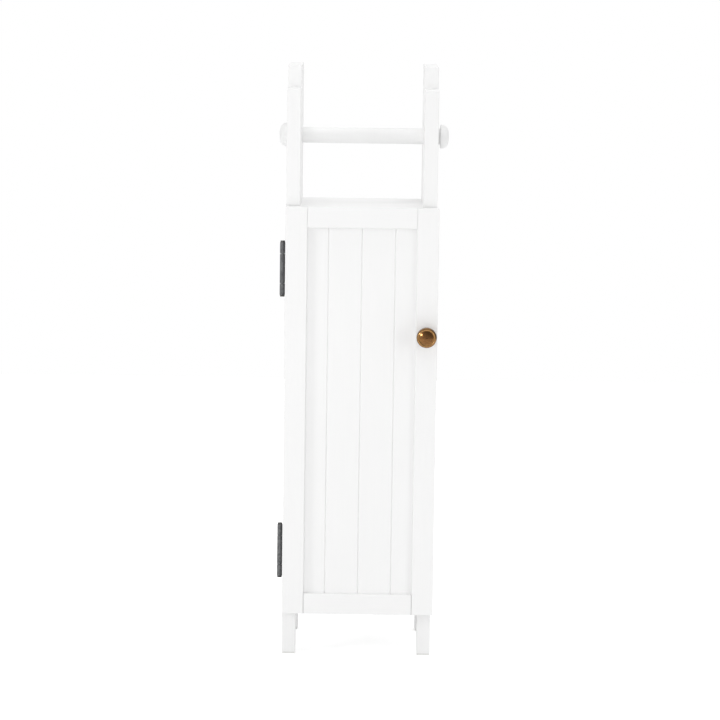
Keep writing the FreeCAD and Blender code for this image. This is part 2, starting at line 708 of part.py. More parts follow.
FRAME_KNUCKLES = [("0", "hinge_end_knuckle"), ("hinge_height - hinge_end_knuckle", "hinge_height")]
DOOR_KNUCKLES = [("hinge_end_knuckle + hinge_knuckle_gap",
                  "hinge_height - hinge_end_knuckle - hinge_knuckle_gap")]
for level, middle in HINGE_MIDDLES.items():
    hinge_leaf(f"{level}_hinge_frame_leaf", middle, FRAME_KNUCKLES, "door_gap / 2 - hinge_leaf_thickness",
               "door_gap / 2 - hinge_leaf_thickness", "+Y")
    hinge_leaf(f"{level}_hinge_door_leaf", middle, DOOR_KNUCKLES, "-door_gap / 2",
               "hinge_leaf_thickness - door_gap / 2", "-Y")
    heads = [rod("0", "0", height, "+Z", "hinge_tip_radius", "hinge_tip_height")
             for height in ("-hinge_tip_height", "hinge_height")]
    pin = join(heads + [rod("0", "0", "0", "+Z", "hinge_pin_radius", "hinge_height")])
    node(place(pin, "hinge_axis_x", "hinge_axis_y", f"{middle} - hinge_height / 2"), f"{level}_hinge_pin")

HINGE_SCREW_X = "left_face_x + hinge_screw_inset"
node(group([screw(HINGE_SCREW_X, "carcass_front_y - hinge_leaf_thickness", height, "+Y",
                  "hinge_leaf_thickness", "hinge_leaf_thickness") for height in HINGE_SCREWS]),
     "hinge_frame_screws")
node(group([screw(HINGE_SCREW_X, "door_back_y + hinge_leaf_thickness", height, "-Y",
                  "hinge_leaf_thickness", "hinge_leaf_thickness") for height in HINGE_SCREWS]),
     "hinge_door_screws")


# Knob, turned about the axis that stands out of the door, with a bead round a low dome
knob = new_body("knob_turning")
spin(knob, draw(sketch_on(knob, "XY_Plane"), [
    ("0", "0"),
    ("0", "knob_dish_depth - knob_dome_rise - knob_reach", "knob_dome_radius"),
    ("knob_dish_radius", "knob_dish_depth - knob_reach", "knob_bead_radius"),
    ("knob_ring_radius", "-knob_reach", "knob_crown_radius"),
    ("knob_radius", "knob_crown_radius - knob_reach"),
    ("knob_radius", "knob_head_thickness - knob_rim_radius - knob_reach", "knob_rim_radius"),
    ("knob_radius - knob_rim_radius", "knob_head_thickness - knob_reach", "-knob_flare_radius"),
    ("knob_neck_radius", "knob_head_thickness + knob_flare_height - knob_reach"),
    ("knob_neck_radius", "-knob_base_thickness - knob_flare_height", "-knob_flare_radius"),
    ("knob_base_radius", "-knob_base_thickness"),
    ("knob_base_radius", "0"),
]), "V_Axis")
knob_thread = rod("0", "0", "0", "-Y", "knob_screw_radius + screw_clearance",
                  "knob_screw_grip + screw_clearance")
node(place(cut(knob, [knob_thread]), "knob_x", "door_front_y", "knob_height"), "knob")

knob_screw_head = rod("0", "0", "0", "-Y", "knob_screw_head_radius", "knob_screw_head_height")
knob_screw_shank = rod("0", "0", "0", "-Y", "knob_screw_radius",
                       "door_thickness - knob_screw_recess + knob_screw_head_height + knob_screw_grip")
node(place(join([knob_screw_head, knob_screw_shank]), "knob_x",
           "door_back_y - knob_screw_recess + knob_screw_head_height", "knob_height"), "knob_screw")


# Magnetic catch under the top panel, and the strike that it pulls
CATCH_LEFT = "catch_x - catch_length / 2"
CATCH_FRONT = "carcass_front_y + catch_setback"
POCKET_LEFT = "catch_x - catch_pocket_length / 2"
catch_case = block(CATCH_LEFT, CATCH_FRONT, CATCH_SCREW_Z, "catch_length", "catch_depth", "catch_height")
catch_pocket = block(POCKET_LEFT, CATCH_FRONT, "catch_middle - catch_pocket_height / 2",
                     "catch_pocket_length", "catch_pocket_depth", "catch_pocket_height")
catch_bores = []
for x in CATCH_SCREWS:
    catch_bores.append(countersink(x, CATCH_SCREW_Y, CATCH_SCREW_Z, "+Z", "catch_sink_depth"))
    catch_bores.append(rod(x, CATCH_SCREW_Y, CATCH_SCREW_Z, "+Z", "screw_radius + screw_clearance",
                           "catch_height"))
node(cut(catch_case, [catch_pocket] + catch_bores), "catch_housing")

JAW_LEFT = "catch_x - catch_pocket_length / 2 + catch_clearance"
JAW_LENGTH = "catch_pocket_length - 2 * catch_clearance"
JAW_BACK = "carcass_front_y + catch_setback + catch_pocket_depth"
LOWER_JAW = "catch_middle - catch_pocket_height / 2"
UPPER_JAW = "catch_middle + catch_pocket_height / 2 - catch_jaw_thickness"
catch_jaws = [block(JAW_LEFT, "catch_jaw_y", height, JAW_LENGTH, f"{JAW_BACK} - catch_jaw_y",
                    "catch_jaw_thickness") for height in (LOWER_JAW, UPPER_JAW)]
node(group(catch_jaws), "catch_jaws")
node(block(JAW_LEFT, CATCH_FRONT, f"{LOWER_JAW} + catch_jaw_thickness", JAW_LENGTH, "catch_pocket_depth",
           "catch_pocket_height - 2 * catch_jaw_thickness"), "catch_magnet")
node(group([screw(x, CATCH_SCREW_Y, CATCH_SCREW_Z, "+Z", "catch_sink_depth", "catch_height")
            for x in CATCH_SCREWS]), "catch_screws")

strike = block("catch_x - strike_length / 2", "door_back_y", "strike_bottom",
               "strike_length", "strike_thickness", "strike_height")
strike_sinks = [countersink(x, "door_back_y + strike_thickness", "strike_screw_height", "-Y",
                            "strike_thickness") for x in STRIKE_SCREWS]
node(cut(strike, strike_sinks), "strike_plate")
node(group([screw(x, "door_back_y + strike_thickness", "strike_screw_height", "-Y", "strike_thickness",
                  "strike_thickness") for x in STRIKE_SCREWS]), "strike_screws")


# Roll bar: a dowel with a spigot at each end, in a domed cap
roll_bar = join([
    rod("0", "0", "0", "+X", "bar_radius", "bar_length"),
    rod("-spigot_length", "0", "0", "+X", "spigot_radius", "bar_length + 2 * spigot_length"),
])
node(place(roll_bar, "bar_left_x", "bar_axis_y", "bar_height"), "roll_bar")


def bar_cap(name, x, turned):
    """A domed cap, turned about X, flat against the dowel's end and bored for its spigot."""
    body = new_body(name + "_turning")
    spin(body, draw(sketch_on(body, "XY_Plane"), [
        ("spigot_length + spigot_clearance", "0"),
        ("bar_cap_length", "0", "bar_cap_crown_radius"),
        ("cap_crown_end", "(bar_cap_radius - cap_corner_radius) * cap_corner_share", "cap_corner_radius"),
        ("bar_cap_rim", "bar_cap_radius"),
        ("bar_cap_rounding", "bar_cap_radius", "bar_cap_rounding"),
        ("0", "bar_cap_radius - bar_cap_rounding"),
        ("0", "spigot_radius + spigot_clearance"),
        ("spigot_length + spigot_clearance", "spigot_radius + spigot_clearance"),
    ]), "H_Axis")
    body.Placement = Placement(Vector(), Rotation(Vector(0, 0, 1), 180 if turned else 0))
    node(place(body, x, "bar_axis_y", "bar_height"), name)


bar_cap("fixed_bar_cap", "bar_left_x", True)
bar_cap("removable_bar_cap", "bar_left_x + bar_length", False)


doc.recompute()
failed = [thing.Label for thing in doc.Objects if {"Invalid", "Error"} & set(thing.State)]
for thing in nodes:
    shape = thing.Shape
    if shape.isNull() or not shape.isValid() or not shape.Solids:
        failed.append(thing.Label)
if failed:
    raise RuntimeError("failed: " + ", ".join(failed))
os.makedirs("parts", exist_ok=True)
for thing in nodes:
    thing.Shape.exportStep(f"parts/{thing.Label}.step")
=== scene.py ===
import math

import bpy
from mathutils import Matrix, Vector


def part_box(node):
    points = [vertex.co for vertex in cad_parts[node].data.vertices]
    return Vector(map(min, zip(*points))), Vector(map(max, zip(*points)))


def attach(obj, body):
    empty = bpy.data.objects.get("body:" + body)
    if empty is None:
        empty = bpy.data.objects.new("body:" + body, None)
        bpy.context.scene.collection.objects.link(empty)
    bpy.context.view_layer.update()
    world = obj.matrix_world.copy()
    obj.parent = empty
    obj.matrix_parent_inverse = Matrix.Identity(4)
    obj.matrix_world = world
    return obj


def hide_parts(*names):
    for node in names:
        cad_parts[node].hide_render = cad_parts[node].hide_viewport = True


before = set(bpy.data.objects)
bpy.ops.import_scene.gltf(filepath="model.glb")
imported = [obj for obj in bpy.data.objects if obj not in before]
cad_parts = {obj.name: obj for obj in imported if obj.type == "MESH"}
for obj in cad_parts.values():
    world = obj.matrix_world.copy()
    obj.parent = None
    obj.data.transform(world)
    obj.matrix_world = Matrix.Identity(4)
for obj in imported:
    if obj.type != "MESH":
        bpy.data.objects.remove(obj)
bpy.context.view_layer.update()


# Side panels. Each is one fibreboard panel that is foot, cabinet wall and ear in one piece, with a routed
# outline and rounded edges. It is sprayed with white satin lacquer, which leaves a faint orange peel.
def add_node(tree, kind, values=None, **settings):
    """A node with its settings made and its inputs filled: an input that gets a socket is linked to it."""
    made = tree.nodes.new(kind)
    for name, setting in settings.items():
        setattr(made, name, setting)
    for name, value in (values or {}).items():
        if isinstance(value, bpy.types.NodeSocket):
            tree.links.new(value, made.inputs[name])
        else:
            made.inputs[name].default_value = value
    return made


def connect(tree, node, sockets):
    for label, socket in sockets.items():
        tree.links.new(socket, node.inputs[label])


def calc(tree, operation, *values):
    return add_node(tree, "ShaderNodeMath", dict(enumerate(values)), operation=operation).outputs[0]


def spread(tree, value, low, high, to_low, to_high):
    """Maps low..high of a varying value to another range, and holds it there."""
    mapped = add_node(tree, "ShaderNodeMapRange", {"Value": value, "From Min": low, "From Max": high,
                                                   "To Min": to_low, "To Max": to_high})
    return mapped.outputs["Result"]


def between(tree, share, first, second):
    """A value that goes from the first to the second as the share goes from 0 to 1."""
    return add_node(tree, "ShaderNodeMix", {"Factor": share, "A": first, "B": second}).outputs[0]


def object_place(tree):
    return add_node(tree, "ShaderNodeTexCoord").outputs["Object"]


def stretched(tree, place, per_metre):
    """A place in steps of so many per metre along each axis, for a noise that is drawn out along one."""
    return add_node(tree, "ShaderNodeVectorMath", {0: place, 1: per_metre}, operation="MULTIPLY").outputs[0]


def noise(tree, place, scale, detail):
    made = add_node(tree, "ShaderNodeTexNoise", {"Vector": place, "Scale": scale, "Detail": detail})
    return made.outputs["Fac"]


def shaded(tree, colour, shade):
    return add_node(tree, "ShaderNodeVectorMath", {0: colour, "Scale": shade}, operation="SCALE").outputs[0]


def relief(tree, height, strength, depth):
    bump = add_node(tree, "ShaderNodeBump", {"Height": height, "Strength": strength, "Distance": depth})
    return bump.outputs["Normal"]


def effect_group(name, inputs):
    """A shader group for colour, roughness and height; returns it, what comes in, and its output node."""
    tree = bpy.data.node_groups.new(name, "ShaderNodeTree")
    for label, kind, value in inputs:
        tree.interface.new_socket(label, in_out="INPUT", socket_type=kind).default_value = value
    for label, kind in (("Color", "NodeSocketColor"), ("Roughness", "NodeSocketFloat"),
                        ("Height", "NodeSocketFloat")):
        tree.interface.new_socket(label, in_out="OUTPUT", socket_type=kind)
    return tree, tree.nodes.new("NodeGroupInput").outputs, tree.nodes.new("NodeGroupOutput")


def lacquer_film():
    """Sprayed lacquer: orange peel, the board's fibres just showing through, and a slow drift in tone."""
    tree, given, result = effect_group("lacquer_film", [
        ("Paint", "NodeSocketColor", (0.8, 0.8, 0.8, 1)),
        ("Fibres per metre", "NodeSocketVector", (420, 420, 16)),
        ("Peel share", "NodeSocketFloat", 0.6),
    ])
    peel_per_metre, drifts_per_metre = 650.0, 5.0
    place = object_place(tree)
    peel = noise(tree, place, peel_per_metre, 1.5)
    fibres = noise(tree, stretched(tree, place, given["Fibres per metre"]), 1.0, 4.0)
    drift = noise(tree, place, drifts_per_metre, 1.0)
    tone = calc(tree, "MULTIPLY", spread(tree, drift, 0.3, 0.7, 0.985, 1.0),
                spread(tree, fibres, 0.3, 0.7, 0.99, 1.0))
    connect(tree, result, {
        "Color": shaded(tree, given["Paint"], tone),
        "Roughness": spread(tree, calc(tree, "ADD", drift, fibres), 0.7, 1.3, 0.34, 0.46),
        "Height": between(tree, given["Peel share"], fibres, peel)})
    return tree


def new_material(name):
    """A material with its Principled shader; returns it, its tree and the shader."""
    made = bpy.data.materials.new(name)
    made.use_nodes = True
    shader = next(item for item in made.node_tree.nodes if item.type == "BSDF_PRINCIPLED")
    return made, made.node_tree, shader


def take_effect(tree, shader, group, values, strength, depth):
    """Places an effect group, with its own values, in front of a shader."""
    effect = add_node(tree, "ShaderNodeGroup", values, node_tree=group)
    connect(tree, shader, {"Base Color": effect.outputs["Color"], "Roughness": effect.outputs["Roughness"],
                           "Normal": relief(tree, effect.outputs["Height"], strength, depth)})
    return effect


white_lacquer = (0.93, 0.93, 0.928, 1)
upright_fibres = (420, 420, 16)
crosswise_fibres = (16, 420, 420)
lacquer = lacquer_film()


def lacquered(name, fibres, peel_share=0.6):
    """A lacquered finish; returns it with its tree, shader and film, for finishes that add to it."""
    made, tree, shader = new_material(name)
    film = take_effect(tree, shader, lacquer, {"Paint": white_lacquer, "Fibres per metre": fibres,
                                               "Peel share": peel_share}, 0.35, 0.0003)
    return made, tree, shader, film


def coat(material, *names):
    """Gives CAD nodes a finish, in the material slots that they came with."""
    for name in names:
        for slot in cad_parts[name].material_slots:
            slot.material = material


upright_board = lacquered("lacquered_upright_board", upright_fibres)[0]
coat(upright_board, "left_side_panel", "right_side_panel")


# Top and bottom panels. Lacquered boards between the sides, drawn tight by the cam fittings: the top one is
# the shelf below the roll, and the lid of the cabinet.
crosswise_board = lacquered("lacquered_crosswise_board", crosswise_fibres)[0]
coat(crosswise_board, "top_panel", "bottom_panel")


# Back panel. Three millimetres of hardboard, slid into grooves all round. Its face is painted white, and its
# rear keeps the print of the wire screen that the wet board was pressed on.
def axes_of(tree, vector):
    return add_node(tree, "ShaderNodeSeparateXYZ", {"Vector": vector}).outputs


def hardboard():
    made, tree, shader = new_material("white_hardboard_sheet")
    board_white = (0.83, 0.825, 0.81)
    wires_per_metre, flecks_per_metre = 620, 900.0
    place = object_place(tree)
    axes = axes_of(tree, place)
    waves = [calc(tree, "SINE", calc(tree, "MULTIPLY", axes[axis], 2 * math.pi * wires_per_metre))
             for axis in ("X", "Z")]
    screen = spread(tree, calc(tree, "MULTIPLY", *waves), -1.0, 1.0, 0.0, 1.0)
    low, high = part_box("back_panel")
    on_rear = calc(tree, "GREATER_THAN", axes["Y"], (low.y + high.y) / 2)
    pressed = calc(tree, "MULTIPLY", screen, on_rear)
    flecks = noise(tree, place, flecks_per_metre, 3.0)
    shade = calc(tree, "SUBTRACT", spread(tree, flecks, 0.35, 0.65, 0.955, 1.0),
                 calc(tree, "MULTIPLY", pressed, 0.03))
    height = calc(tree, "ADD", pressed, calc(tree, "MULTIPLY", flecks, 0.3))
    connect(tree, shader, {"Base Color": shaded(tree, board_white, shade),
                           "Roughness": spread(tree, flecks, 0.3, 0.7, 0.5, 0.65),
                           "Normal": relief(tree, height, 0.5, 0.0003)})
    return made


coat(hardboard(), "back_panel")


# Cam bolts, cam discs and shelf pins. Zinc castings and turned steel with a bright zinc plate: the discs show
# on the undersides of the boards, and each has a cross slot for the driver.
def blended(tree, share, first, second):
    """A colour that goes from the first to the second as the share goes from 0 to 1."""
    mixed = add_node(tree, "ShaderNodeMix", {"Factor": share, 6: first, 7: second}, data_type="RGBA")
    return mixed.outputs[2]


def plated_metal():
    """Plated metal: clouded plate, fine scuffs one way, and a grainy surface."""
    tree, given, result = effect_group("plated_metal", [
        ("Plate", "NodeSocketColor", (0.5, 0.5, 0.5, 1)),
        ("Clouded", "NodeSocketColor", (0.3, 0.3, 0.3, 1)),
        ("Scuffs per metre", "NodeSocketVector", (3000, 3000, 200)),
        ("Smooth", "NodeSocketFloat", 0.25),
        ("Rough", "NodeSocketFloat", 0.45),
    ])
    clouds_per_metre = 260.0
    place = object_place(tree)
    clouds = noise(tree, place, clouds_per_metre, 4.0)
    scuffs = noise(tree, stretched(tree, place, given["Scuffs per metre"]), 1.0, 2.0)
    clean = spread(tree, calc(tree, "ADD", clouds, calc(tree, "MULTIPLY", scuffs, 0.6)), 0.62, 1.0, 0.0, 1.0)
    connect(tree, result, {"Color": blended(tree, clean, given["Clouded"], given["Plate"]),
                           "Roughness": between(tree, clean, given["Rough"], given["Smooth"]),
                           "Height": scuffs})
    return tree


metal_plate = plated_metal()


def plated(name, plate, clouded, scuffs, smooth, rough, strength):
    made, tree, shader = new_material(name)
    shader.inputs["Metallic"].default_value = 1.0
    take_effect(tree, shader, metal_plate, {"Plate": plate, "Clouded": clouded, "Scuffs per metre": scuffs,
                                            "Smooth": smooth, "Rough": rough}, strength, 0.0001)
    return made


zinc_plate = plated("bright_zinc", plate=(0.60, 0.61, 0.63, 1), clouded=(0.40, 0.41, 0.43, 1),
                    scuffs=(2600, 2600, 2600), smooth=0.24, rough=0.42, strength=0.15)
coat(zinc_plate, "cam_bolts", "cam_discs", "shelf_pins")


# Wood dowels. Beech, in glue, across the joint between a board and a side: straight grain along the peg with
# short darker rays.
def beech():
    made, tree, shader = new_material("bare_beech")
    grain_per_metre = (60, 900, 900)
    dark_ray, pale_wood = (0.40, 0.23, 0.11, 1), (0.56, 0.37, 0.20, 1)
    grain = noise(tree, stretched(tree, object_place(tree), grain_per_metre), 1.0, 4.0)
    connect(tree, shader, {"Base Color": blended(tree, grain, dark_ray, pale_wood),
                           "Roughness": spread(tree, grain, 0.3, 0.7, 0.6, 0.72),
                           "Normal": relief(tree, grain, 0.3, 0.0002)})
    return made


coat(beech(), "wood_dowels")


# Foot glides. Moulded white polythene pads that cover the end of each foot, with a nail moulded in that is
# knocked up into the board.
def moulded_plastic():
    """Moulded plastic: a fine spark-eroded skin, with faint flow clouds in the colour."""
    tree, given, result = effect_group("moulded_plastic", [
        ("Plastic", "NodeSocketColor", (0.5, 0.5, 0.5, 1)),
        ("Skin per metre", "NodeSocketFloat", 2200),
    ])
    clouds_per_metre = 120.0
    place = object_place(tree)
    skin = noise(tree, place, given["Skin per metre"], 2.0)
    flow = noise(tree, place, clouds_per_metre, 2.0)
    connect(tree, result, {"Color": shaded(tree, given["Plastic"], spread(tree, flow, 0.3, 0.7, 0.93, 1.0)),
                           "Roughness": spread(tree, skin, 0.3, 0.7, 0.38, 0.55),
                           "Height": skin})
    return tree


plastic_skin = moulded_plastic()


def moulded(name, plastic, skin):
    made, tree, shader = new_material(name)
    take_effect(tree, shader, plastic_skin, {"Plastic": plastic, "Skin per metre": skin}, 0.2, 0.0001)
    return made


# The pads' white is partly the plastic's own and partly set greyer as painted shade where the feet meet the
# floor.
coat(moulded("white_polythene", plastic=(0.84, 0.84, 0.82, 1), skin=1800), "foot_glides")


# Inner shelf. A loose lacquered board with a rounded front edge. It lies on four plated pins, which can go in
# any of three rows of holes.
coat(crosswise_board, "inner_shelf")


# Door frame. Two stiles that run the door's whole height and two rails between them, tongued into the groove
# that holds the panel. The bevels at the joints leave a fine V line where a rail meets a stile.
def rail_board(node, joint_dust_and_painted_shade):
    """Crosswise board whose ends are darkened in a fine line at each joint: painted shade in the joint line,
    with a little dust.
    """
    made, tree, shader, film = lacquered("lacquered_" + node, crosswise_fibres)
    left_joint, right_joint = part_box("door_hinge_stile")[1].x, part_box("door_lock_stile")[0].x
    half_length, shade_width = (right_joint - left_joint) / 2, 0.0008
    across = axes_of(tree, object_place(tree))["X"]
    from_middle = calc(tree, "ABSOLUTE", calc(tree, "SUBTRACT", across, (left_joint + right_joint) / 2))
    # Painted shade, with a little dust, darkens the rail's ends along each joint line.
    shade = spread(tree, from_middle, half_length - shade_width, half_length - 0.3 * shade_width,
                   1.0, 1.0 - joint_dust_and_painted_shade)
    connect(tree, shader, {"Base Color": shaded(tree, film.outputs["Color"], shade)})
    return made


coat(upright_board, "door_hinge_stile", "door_lock_stile")
# Painted shade and dust at the rail ends, deeper on the bottom rail.
coat(rail_board("door_top_rail", joint_dust_and_painted_shade=0.12), "door_top_rail")
coat(rail_board("door_bottom_rail", joint_dust_and_painted_shade=0.4), "door_bottom_rail")


# Door panel. One thin board with three V-grooves routed down its face to look like planks. The lacquer
# gathers in the grooves, so they are glossier than the flats, and they are painted a shade greyer as painted
# shade.
def plank_panel():
    made, tree, shader, film = lacquered("lacquered_plank_panel", upright_fibres)
    groove_spacing, groove_half = 0.0436, 0.0011
    groove_painted_shade, groove_gloss = 0.02, 0.12
    low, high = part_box("door_panel")
    axes = axes_of(tree, object_place(tree))
    from_middle = calc(tree, "SUBTRACT", axes["X"], (low.x + high.x) / 2)
    from_groove = calc(tree, "PINGPONG", from_middle, groove_spacing / 2)
    on_front = calc(tree, "LESS_THAN", axes["Y"], (low.y + high.y) / 2)
    in_groove = calc(tree, "MULTIPLY", spread(tree, from_groove, 0.3 * groove_half, groove_half, 1.0, 0.0),
                     on_front)
    # Painted shade: the grooves' colour is darkened a little.
    shade = calc(tree, "SUBTRACT", 1.0, calc(tree, "MULTIPLY", in_groove, groove_painted_shade))
    connect(tree, shader, {
        "Base Color": shaded(tree, film.outputs["Color"], shade),
        "Roughness": calc(tree, "SUBTRACT", film.outputs["Roughness"],
                          calc(tree, "MULTIPLY", in_groove, groove_gloss))})
    return made


coat(plank_panel(), "door_panel")


# Butt hinges. Two leaves of rolled steel with their knuckles round a loose pin with a flat head at each end.
# The leaves have a dark gunmetal plate, and the pin is painted darker still as painted shade, so the gaps
# between the knuckles read dark.
gunmetal = plated("gunmetal_plate", plate=(0.18, 0.183, 0.186, 1), clouded=(0.11, 0.112, 0.116, 1),
                  scuffs=(2400, 2400, 120), smooth=0.30, rough=0.48, strength=0.2)
# Painted shade: the pin's plate is darkened so the knuckle gaps read dark.
pin_steel = plated("pin_steel_darkened_as_painted_shade", plate=(0.13, 0.128, 0.122, 1), clouded=(0.05, 0.05, 0.05, 1),
                   scuffs=(2400, 2400, 300), smooth=0.34, rough=0.5, strength=0.2)
coat(gunmetal, "upper_hinge_frame_leaf", "upper_hinge_door_leaf", "lower_hinge_frame_leaf",
     "lower_hinge_door_leaf")
coat(pin_steel, "upper_hinge_pin", "lower_hinge_pin")


# Screws. Countersunk wood screws hold the hinges, the catch and the strike; a pan-headed one holds the knob.
# Each has a cross recess, a thread below its head and a point, and all are zinc plated.
def screw_tree():
    """Screws along a direction, one from each point of the mesh that comes in. Sizes are in millimetres."""
    tree = bpy.data.node_groups.new("cross_screws", "GeometryNodeTree")
    tree.interface.new_socket("Geometry", in_out="INPUT", socket_type="NodeSocketGeometry")
    tree.interface.new_socket("Direction", in_out="INPUT", socket_type="NodeSocketVector")
    tree.interface.new_socket("Finish", in_out="INPUT", socket_type="NodeSocketMaterial")
    for label, size in (
            ("Face radius", 2.6), ("Neck radius", 1.5), ("Head height", 1.1), ("Core radius", 1.1),
            ("Thread length", 9.0), ("Thread pitch", 1.3), ("Thread radius", 0.35), ("Tip length", 3.0),
            ("Recess length", 3.0), ("Recess width", 0.7), ("Recess depth", 0.7)):
        tree.interface.new_socket(label, in_out="INPUT", socket_type="NodeSocketFloat").default_value = size
    tree.interface.new_socket("Geometry", in_out="OUTPUT", socket_type="NodeSocketGeometry")
    given = tree.nodes.new("NodeGroupInput").outputs
    result = tree.nodes.new("NodeGroupOutput")
    millimetre = 0.001
    head_sides, core_sides, thread_steps, thread_sides = 40, 24, 20, 4
    tip_radius = 0.15

    def upwards(geometry, height):
        offset = add_node(tree, "ShaderNodeCombineXYZ", {"Z": height}).outputs[0]
        moved = add_node(tree, "GeometryNodeTransform", {"Geometry": geometry, "Translation": offset})
        return moved.outputs["Geometry"]

    head = add_node(tree, "GeometryNodeMeshCone", {
        "Vertices": head_sides, "Radius Bottom": given["Face radius"], "Radius Top": given["Neck radius"],
        "Depth": given["Head height"]}).outputs["Mesh"]
    wing_height = calc(tree, "MULTIPLY", given["Recess depth"], 2.0)
    for length, width in (("Recess length", "Recess width"), ("Recess width", "Recess length")):
        size = add_node(tree, "ShaderNodeCombineXYZ", {
            "X": given[length], "Y": given[width], "Z": wing_height})
        wing = add_node(tree, "GeometryNodeMeshCube", {"Size": size.outputs[0]})
        head = add_node(tree, "GeometryNodeMeshBoolean", {"Mesh 1": head, "Mesh 2": wing.outputs["Mesh"]},
                        operation="DIFFERENCE", solver="EXACT").outputs["Mesh"]
    core = add_node(tree, "GeometryNodeMeshCylinder", {
        "Vertices": core_sides, "Radius": given["Core radius"], "Depth": given["Thread length"]})
    core_middle = calc(tree, "ADD", given["Head height"], calc(tree, "DIVIDE", given["Thread length"], 2.0))
    tip = add_node(tree, "GeometryNodeMeshCone", {
        "Vertices": core_sides, "Radius Bottom": given["Core radius"], "Radius Top": tip_radius,
        "Depth": given["Tip length"]})
    tip_start = calc(tree, "ADD", given["Head height"], given["Thread length"])
    turns = calc(tree, "DIVIDE", given["Thread length"], given["Thread pitch"])
    helix = add_node(tree, "GeometryNodeCurveSpiral", {
        "Resolution": thread_steps, "Rotations": turns, "Start Radius": given["Core radius"],
        "End Radius": given["Core radius"], "Height": given["Thread length"]})
    ridge = add_node(tree, "GeometryNodeCurvePrimitiveCircle", {
        "Resolution": thread_sides, "Radius": given["Thread radius"]})
    thread = add_node(tree, "GeometryNodeCurveToMesh", {
        "Curve": helix.outputs["Curve"], "Profile Curve": ridge.outputs["Curve"], "Fill Caps": True})
    whole = add_node(tree, "GeometryNodeJoinGeometry")
    for piece, height in ((thread, given["Head height"]), (tip, tip_start), (core, core_middle)):
        tree.links.new(upwards(piece.outputs["Mesh"], height), whole.inputs["Geometry"])
    tree.links.new(head, whole.inputs["Geometry"])
    turned = add_node(tree, "FunctionNodeAlignRotationToVector", {"Vector": given["Direction"]}, axis="Z")
    set_out = add_node(tree, "GeometryNodeInstanceOnPoints", {
        "Points": given["Geometry"], "Instance": whole.outputs["Geometry"],
        "Rotation": turned.outputs["Rotation"], "Scale": (millimetre, millimetre, millimetre)})
    solid = add_node(tree, "GeometryNodeRealizeInstances", {"Geometry": set_out.outputs["Instances"]})
    finished = add_node(tree, "GeometryNodeSetMaterial", {"Geometry": solid.outputs["Geometry"],
                                                          "Material": given["Finish"]})
    connect(tree, result, {"Geometry": finished.outputs["Geometry"]})
    return tree


cross_screws = screw_tree()
zinc_screw = plated("zinc_screw_plate", plate=(0.58, 0.585, 0.60, 1), clouded=(0.36, 0.365, 0.38, 1),
                    scuffs=(3000, 3000, 3000), smooth=0.22, rough=0.40, strength=0.15)


def grown(name, tree, points, inputs):
    """Runs a tree on a mesh of points and returns its result as a plain mesh object."""
    seed = bpy.data.objects.new(name + "_points", bpy.data.meshes.new(name + "_points"))
    seed.data.from_pydata([tuple(point) for point in points], [], [])
    bpy.context.scene.collection.objects.link(seed)
    modifier = seed.modifiers.new("grown", "NODES")
    modifier.node_group = tree
    for socket in tree.interface.items_tree:
        if socket.item_type == "SOCKET" and socket.in_out == "INPUT" and socket.name in inputs:
            modifier[socket.identifier] = inputs[socket.name]
    evaluated = seed.evaluated_get(bpy.context.evaluated_depsgraph_get())
    made = bpy.data.objects.new(name, bpy.data.meshes.new_from_object(evaluated))
    bpy.context.scene.collection.objects.link(made)
    seed.modifiers.remove(modifier)
    bpy.data.objects.remove(seed)
    return made


def screws(name, node, body, points, direction, **sizes):
    """Screws that stand for a CAD node, each with its head's face at one of the points."""
    inputs = {"Direction": direction, "Finish": zinc_screw}
    inputs.update({label.replace("_", " ").capitalize(): size for label, size in sizes.items()})
    made = grown(name, cross_screws, points, inputs)
    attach(made, body)
    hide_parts(node)


into_carcass, into_door, into_top = (0.0, 1.0, 0.0), (0.0, -1.0, 0.0), (0.0, 0.0, 1.0)
hinge_screw_pitch = 0.026
hinge_screw_heights = []
for leaf in ("upper_hinge_frame_leaf", "lower_hinge_frame_leaf"):
    low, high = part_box(leaf)
    hinge_screw_heights += [(low.z + high.z) / 2 + step * hinge_screw_pitch for step in (-1, 0, 1)]
low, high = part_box("hinge_frame_screws")
screws("hinge_screws_in_frame", "hinge_frame_screws", "carcass",
       [((low.x + high.x) / 2, low.y, height) for height in hinge_screw_heights], into_carcass)
low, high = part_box("hinge_door_screws")
screws("hinge_screws_in_door", "hinge_door_screws", "door",
       [((low.x + high.x) / 2, high.y, height) for height in hinge_screw_heights], into_door)
screw_head_radius = 0.0026
low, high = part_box("catch_screws")
screws("catch_case_screws", "catch_screws", "carcass",
       [(x, (low.y + high.y) / 2, low.z) for x in (low.x + screw_head_radius, high.x - screw_head_radius)],
       into_top, head_height=1.2, thread_length=20.8)
low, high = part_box("strike_screws")
screws("strike_plate_screws", "strike_screws", "door",
       [(x, high.y, (low.z + high.z) / 2) for x in (low.x + screw_head_radius, high.x - screw_head_radius)],
       into_door, head_height=1.2)
low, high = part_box("knob_screw")
screws("knob_fixing_screw", "knob_screw", "door", [((low.x + high.x) / 2, high.y, (low.z + high.z) / 2)],
       into_door, face_radius=3.3, neck_radius=3.8, head_height=2.6, core_radius=1.6, thread_length=21.0,
       thread_pitch=0.8, tip_length=0.6, recess_length=4.2, recess_width=0.9, recess_depth=1.6)
